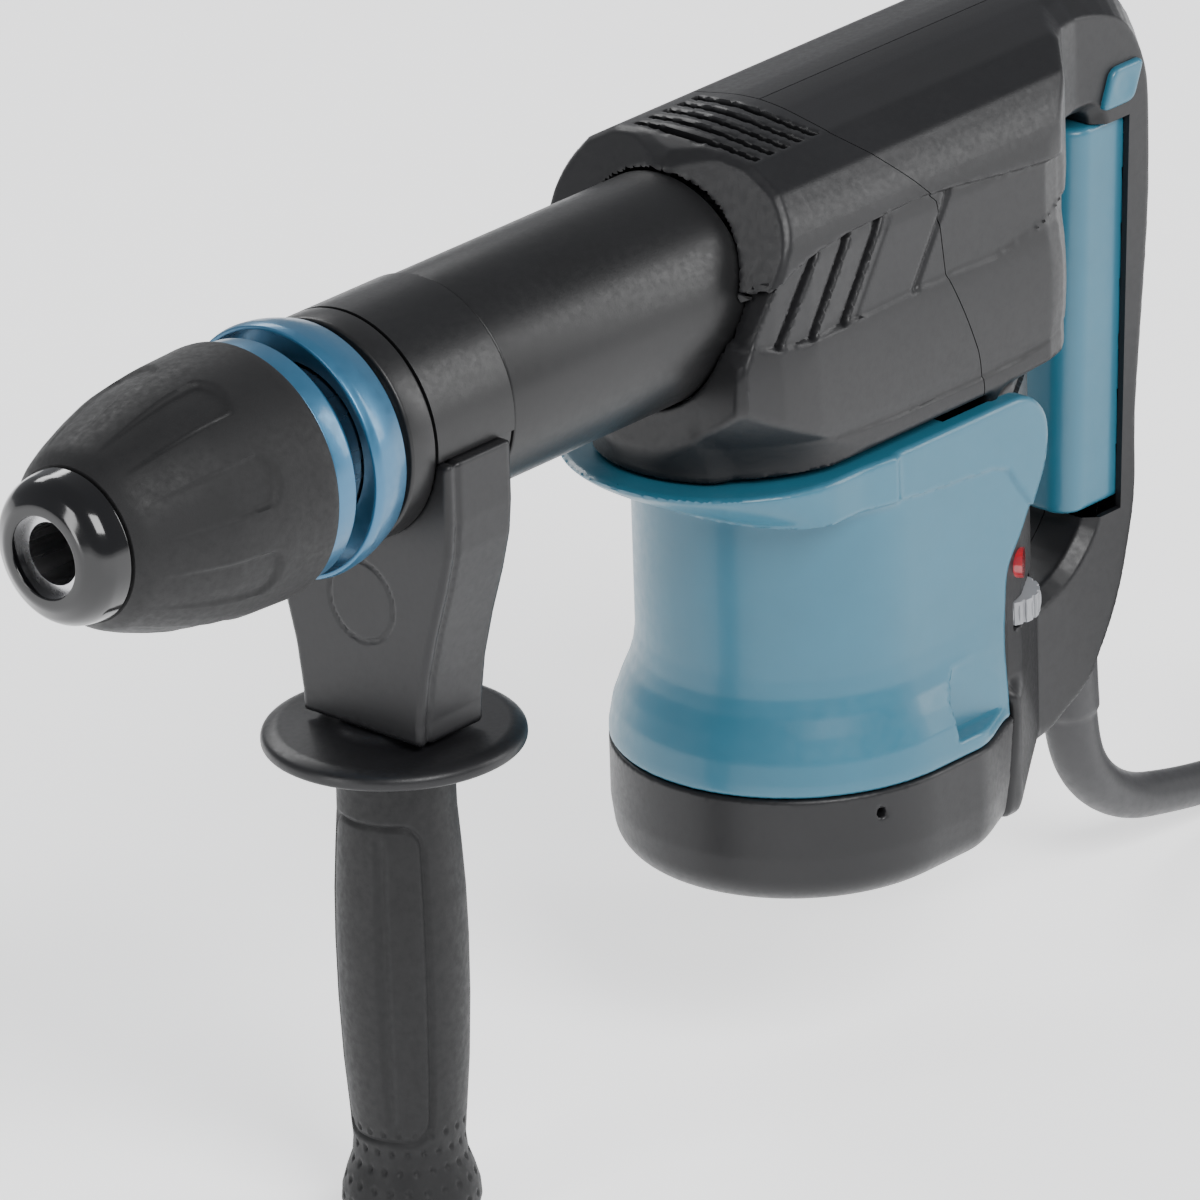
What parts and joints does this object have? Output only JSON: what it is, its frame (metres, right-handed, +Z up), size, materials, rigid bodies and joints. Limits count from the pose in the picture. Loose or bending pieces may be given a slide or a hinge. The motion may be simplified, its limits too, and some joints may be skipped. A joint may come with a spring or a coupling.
{
  "type": "electric demolition hammer",
  "caption": "Corded demolition hammer with a bit chuck, upright motor, D-shaped rear grip, side grip and coiled mains lead.",
  "frame": {"origin": "middle of the rear grip, where a hand holds the tool", "axes": "+X backwards along the striking axis, away from the bit; +Z up, along the motor axis; the tool is nearly the same on both sides of y = 0"},
  "size_m": [0.6765, 0.1665, 0.2892],
  "materials": {
    "black_plastic": "fine moulded texture, satin",
    "blue_plastic": "smooth moulded teal blue",
    "blue_ring": "satin metallic blue",
    "soft_rubber": "matte moulded rubber",
    "gloss_black": "polished black",
    "barrel_black": "satin black coating",
    "steel": "ground steel",
    "cast_alloy": "cast, as made",
    "copper_wire": "varnished windings",
    "laminations": "stacked sheet steel",
    "inner_plastic": "plain moulded",
    "grey_plastic": "light grey moulded",
    "red_lens": "clear red lens",
    "cord_rubber": "black rubber sheath"
  },
  "bodies": {
    "housing": {"barrel": "barrel_black", "front_ring": "barrel_black", "cylinder": "steel", "impact_damper": "soft_rubber", "gear_housing": "cast_alloy", "crank_cover": "cast_alloy", "crank_bearings": "steel", "armature_bearings": "steel", "stator": "laminations", "brush_holders": "inner_plastic", "carbon_brushes": "laminations", "air_baffle": "inner_plastic", "upper_housing": "black_plastic", "handle_left": "black_plastic", "handle_right": "black_plastic", "motor_housing": "blue_plastic", "bottom_cover": "black_plastic", "trigger_pin": "steel", "switch_box": "inner_plastic", "indicator_lamp": "red_lens", "controller": "inner_plastic", "cord_guard": "cord_rubber", "cord_lead": "cord_rubber", "cord_coil": "cord_rubber", "cord_tail": "cord_rubber", "cord_tie": "grey_plastic", "plug": "cord_rubber"},
    "holder": {"tool_holder": "steel", "nose_cap": "gloss_black", "detent_washer": "steel"},
    "upper_roller": {"roller_upper": "steel"},
    "lower_roller": {"roller_lower": "steel"},
    "cover": {"release_cover": "soft_rubber", "cover_band": "blue_ring", "release_spring": "steel"},
    "ring": {"change_ring": "blue_ring"},
    "piston": {"piston": "cast_alloy", "piston_ring": "soft_rubber", "piston_pin": "steel"},
    "rod": {"connecting_rod": "cast_alloy"},
    "striker": {"striker": "steel", "striker_ring": "soft_rubber"},
    "bolt": {"impact_bolt": "steel"},
    "crank": {"crank_shaft": "steel", "crank_gear": "steel"},
    "armature": {"armature_shaft": "steel", "armature_core": "laminations", "armature_winding": "copper_wire", "commutator": "copper_wire", "fan": "inner_plastic"},
    "paddle": {"trigger": "blue_plastic"},
    "button": {"lock_button": "blue_plastic"},
    "dial": {"speed_dial": "grey_plastic"},
    "grip_clamp": {"clamp_band": "black_plastic", "grip_base": "black_plastic", "clamp_bolt": "steel"},
    "side_grip": {"grip_flange": "black_plastic", "grip_nut": "steel", "grip_sleeve": "soft_rubber"}
  },
  "joints": [
    {"name": "tool_holder_turn", "type": "hinge", "parent": "housing", "child": "holder", "pos_m": [-0.349, 0, 0.06], "axis": [1, 0, 0], "continuous": true},
    {"name": "release_cover_slide", "type": "slide", "parent": "holder", "child": "cover", "axis": [1, 0, 0], "range_m": [0, 0.006], "stiffness_N_per_m": 1500, "springref_m": -0.004, "deforming": ["release_spring"]},
    {"name": "upper_roller_slide", "type": "slide", "parent": "holder", "child": "upper_roller", "axis": [0, 0, 1], "range_m": [0, 0.0015]},
    {"name": "lower_roller_slide", "type": "slide", "parent": "holder", "child": "lower_roller", "axis": [0, 0, -1], "range_m": [0, 0.0015]},
    {"name": "change_ring_slide", "type": "slide", "parent": "holder", "child": "ring", "axis": [-1, 0, 0], "range_m": [0, 0.004]},
    {"name": "striker_slide", "type": "slide", "parent": "housing", "child": "striker", "axis": [1, 0, 0], "range_m": [-0.004, 0.006]},
    {"name": "impact_bolt_slide", "type": "slide", "parent": "housing", "child": "bolt", "axis": [1, 0, 0], "range_m": [-0.005, 0]},
    {"name": "crank_spin", "type": "hinge", "parent": "housing", "child": "crank", "pos_m": [-0.16025, 0, 0.06], "axis": [0, 0, 1], "continuous": true},
    {"name": "armature_spin", "type": "hinge", "parent": "housing", "child": "armature", "pos_m": [-0.129, 0, 0.06], "axis": [0, 0, 1], "continuous": true},
    {"name": "piston_slide", "type": "slide", "parent": "housing", "child": "piston", "axis": [1, 0, 0], "range_m": [0, 0.024]},
    {"name": "rod_swing", "type": "hinge", "parent": "piston", "child": "rod", "pos_m": [-0.22425, 0, 0.06], "axis": [0, 0, 1], "range_deg": [-13, 13]},
    {"name": "trigger_pull", "type": "hinge", "parent": "housing", "child": "paddle", "pos_m": [0.0075, 0, 0.052], "axis": [0, -1, 0], "range_deg": [0, 3.5], "stiffness_Nm_per_rad": 6, "springref_deg": -3.44},
    {"name": "lock_button_press", "type": "slide", "parent": "housing", "child": "button", "axis": [0, 1, 0], "range_m": [0, 0.002], "stiffness_N_per_m": 400, "springref_m": -0.002},
    {"name": "speed_dial_turn", "type": "hinge", "parent": "housing", "child": "dial", "pos_m": [-0.0705, -0.027, -0.067], "axis": [0, 0, 1], "range_deg": [0, 280]},
    {"name": "side_grip_swing", "type": "hinge", "parent": "housing", "child": "grip_clamp", "pos_m": [-0.2965, 0, 0.06], "axis": [1, 0, 0], "continuous": true},
    {"name": "side_grip_turn", "type": "hinge", "parent": "grip_clamp", "child": "side_grip", "pos_m": [-0.2965, 0, -0.06], "axis": [0, 0, 1], "continuous": true}
  ],
  "couplings": [
    {"joint": "armature_spin", "follows": "crank_spin", "ratio": -4},
    {"joint": "upper_roller_slide", "follows": "release_cover_slide", "ratio": 0.25},
    {"joint": "lower_roller_slide", "follows": "release_cover_slide", "ratio": 0.25}
  ]
}
